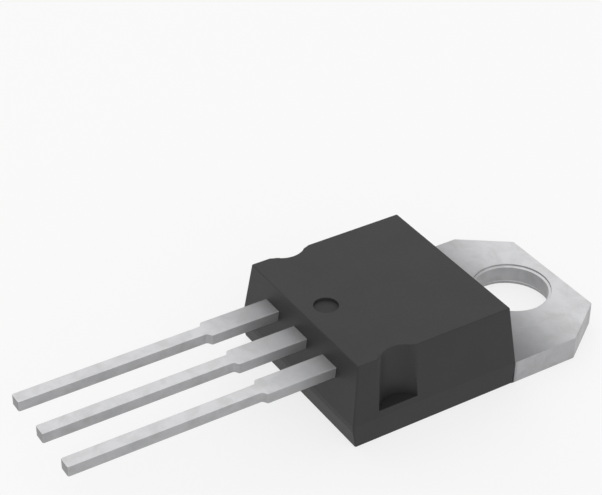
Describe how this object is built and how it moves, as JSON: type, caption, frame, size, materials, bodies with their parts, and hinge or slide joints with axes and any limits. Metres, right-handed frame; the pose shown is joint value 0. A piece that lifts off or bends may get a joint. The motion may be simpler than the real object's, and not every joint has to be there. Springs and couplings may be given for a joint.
{
  "type": "power mosfet",
  "caption": "Power transistor in a drafted plastic body with a drilled heatsink tab and a row of flat leads for through-hole mounting.",
  "frame": {"origin": "where the mounting hole's axis meets the back (seating) plane", "axes": "+Z out of the front face, +Y to the end of the tab, leads along -Y, +X to the right when the front is seen with the leads down"},
  "size_m": [0.01, 0.0288, 0.0044],
  "materials": {
    "moulding_compound": "matte",
    "tinned_copper": "satin",
    "solder": "matte",
    "silicon": "gloss",
    "aluminium_wire": "satin"
  },
  "bodies": {
    "root": {"mould_body": "moulding_compound", "tab_and_drain_lead": "tinned_copper", "gate_lead": "tinned_copper", "source_lead": "tinned_copper", "die_solder": "solder", "mosfet_die": "silicon", "source_wire_1": "aluminium_wire", "source_wire_2": "aluminium_wire", "gate_wire": "aluminium_wire"}
  },
  "joints": []
}
